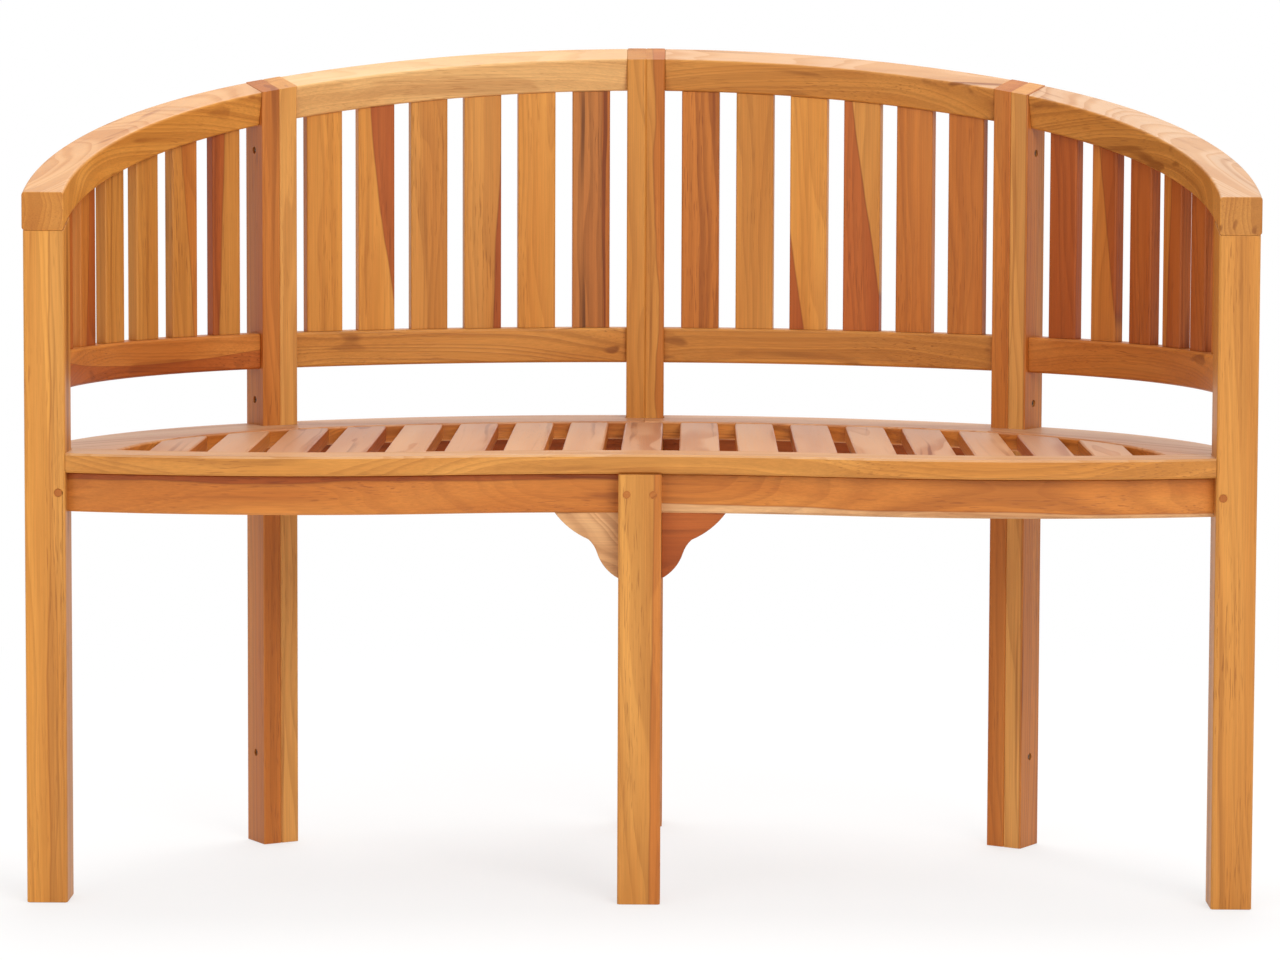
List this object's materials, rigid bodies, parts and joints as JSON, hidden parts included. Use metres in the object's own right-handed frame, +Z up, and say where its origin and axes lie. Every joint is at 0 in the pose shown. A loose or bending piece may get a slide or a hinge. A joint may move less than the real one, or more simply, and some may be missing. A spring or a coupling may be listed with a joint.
{
  "type": "garden bench",
  "caption": "Curved banana-shaped hardwood patio bench with slatted seat, wrap-around slatted back and sloping arms.",
  "frame": {"origin": "centre of the footprint at floor level", "axes": "+X along the bench to the sitter's left, as seen from the front to the right; +Y toward the back; +Z up"},
  "size_m": [1.2, 0.5126, 0.8367],
  "materials": {
    "wood_golden": "oiled satin",
    "wood_reddish": "oiled satin",
    "wood_pale": "oiled satin",
    "wood_amber": "oiled satin",
    "plug_wood": "oiled satin",
    "screw_steel": "dull"
  },
  "bodies": {
    "root": {"front_leg_left": "wood_golden", "front_leg_right": "wood_golden", "front_leg_centre": "wood_amber", "rear_post_left_outer": "wood_reddish", "rear_post_left_inner": "wood_golden", "rear_post_centre_left": "wood_golden", "rear_post_centre_right": "wood_amber", "rear_post_right_inner": "wood_amber", "rear_post_right_outer": "wood_reddish", "arm_left": "wood_amber", "arm_right": "wood_amber", "crest_left": "wood_golden", "crest_right": "wood_amber", "low_rail_side_left": "wood_reddish", "low_rail_back_left": "wood_reddish", "low_rail_back_right": "wood_amber", "low_rail_side_right": "wood_reddish", "side_slat_left_1": "wood_amber", "side_slat_left_2": "wood_golden", "side_slat_left_3": "wood_reddish", "side_slat_left_4": "wood_amber", "side_slat_left_5": "wood_reddish", "side_slat_left_6": "wood_amber", "back_slat_left_1": "wood_amber", "back_slat_left_2": "wood_golden", "back_slat_left_3": "wood_amber", "back_slat_left_4": "wood_golden", "back_slat_left_5": "wood_amber", "back_slat_left_6": "wood_golden", "back_slat_right_1": "wood_golden", "back_slat_right_2": "wood_amber", "back_slat_right_3": "wood_amber", "back_slat_right_4": "wood_golden", "back_slat_right_5": "wood_amber", "back_slat_right_6": "wood_amber", "side_slat_right_1": "wood_reddish", "side_slat_right_2": "wood_amber", "side_slat_right_3": "wood_reddish", "side_slat_right_4": "wood_amber", "side_slat_right_5": "wood_reddish", "side_slat_right_6": "wood_amber", "seat_front_rail": "wood_golden", "seat_back_rail_left": "wood_pale", "seat_back_rail_right": "wood_pale", "seat_side_rail_left": "wood_pale", "seat_side_rail_right": "wood_pale", "seat_slats": "wood_pale", "front_apron_left": "wood_amber", "front_apron_right": "wood_reddish", "side_apron_left": "wood_reddish", "side_apron_right": "wood_reddish", "rear_apron_left": "wood_reddish", "rear_apron_right": "wood_reddish", "centre_bearer": "wood_reddish", "bracket_left": "wood_golden", "bracket_right": "wood_reddish", "leg_plugs": "plug_wood", "post_screws": "screw_steel"}
  },
  "joints": []
}
